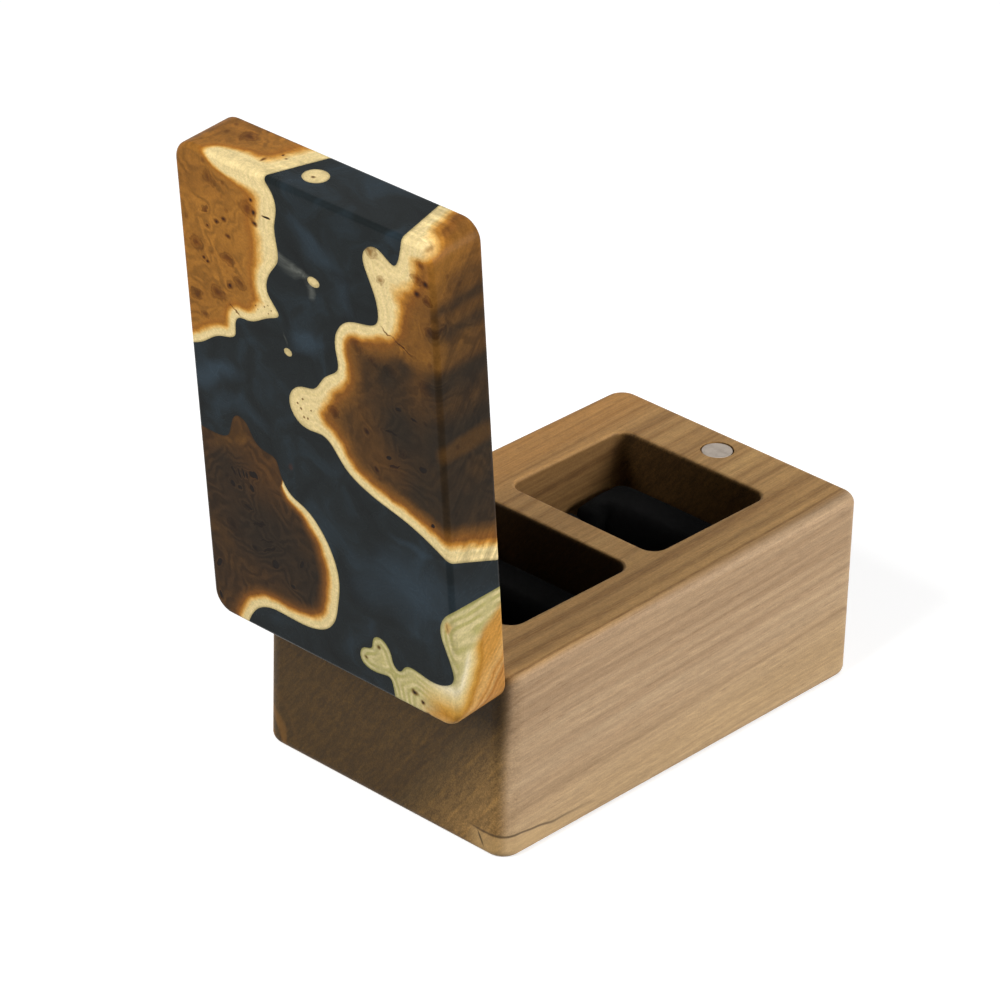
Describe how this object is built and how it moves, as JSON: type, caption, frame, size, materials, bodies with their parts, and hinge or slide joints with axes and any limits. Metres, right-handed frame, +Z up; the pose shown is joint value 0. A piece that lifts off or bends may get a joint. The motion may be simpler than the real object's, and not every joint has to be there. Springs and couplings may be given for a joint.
{
  "type": "ring box",
  "caption": "Small wooden box with velvet-padded ring pockets in its milled base, a magnetic catch, and a thick hinged lid cast from burl wood and dark resin.",
  "frame": {"origin": "centre of the base's underside", "axes": "+Z up; +Y towards the hinges; -Y towards the magnet at the front; +X to the right seen from the front; the lid is stored open against its stop"},
  "size_m": [0.06, 0.1176, 0.1288],
  "materials": {
    "base_wood": "oiled light brown hardwood, satin",
    "burl": "polished burl with cream sapwood edges",
    "resin": "dark blue-black cast resin with a pearl shimmer, polished",
    "velvet": "black velvet pile",
    "brass": "satin brass",
    "nickel": "nickel plate, lightly worn"
  },
  "bodies": {
    "base": {"base_block": "base_wood", "front_pocket_liner": "velvet", "front_ring_pad_front": "velvet", "front_ring_pad_back": "velvet", "rear_pocket_liner": "velvet", "rear_ring_pad_front": "velvet", "rear_ring_pad_back": "velvet", "base_magnet": "nickel", "left_hinge_base_leaf": "brass", "right_hinge_base_leaf": "brass", "left_hinge_pin": "brass", "right_hinge_pin": "brass", "base_leaf_screws": "brass"},
    "lid": {"lid_resin": "resin", "burl_front_right": "burl", "burl_front_left": "burl", "burl_rear_right": "burl", "burl_rear_left": "burl", "burl_chips": "burl", "lid_magnet": "nickel", "left_hinge_lid_leaf": "brass", "right_hinge_lid_leaf": "brass", "lid_leaf_screws": "brass"}
  },
  "joints": [
    {"name": "lid_hinge", "type": "hinge", "parent": "base", "child": "lid", "pos_m": [0, 0.04585, 0.036], "axis": [1, 0, 0], "range_deg": [0, 96]}
  ]
}
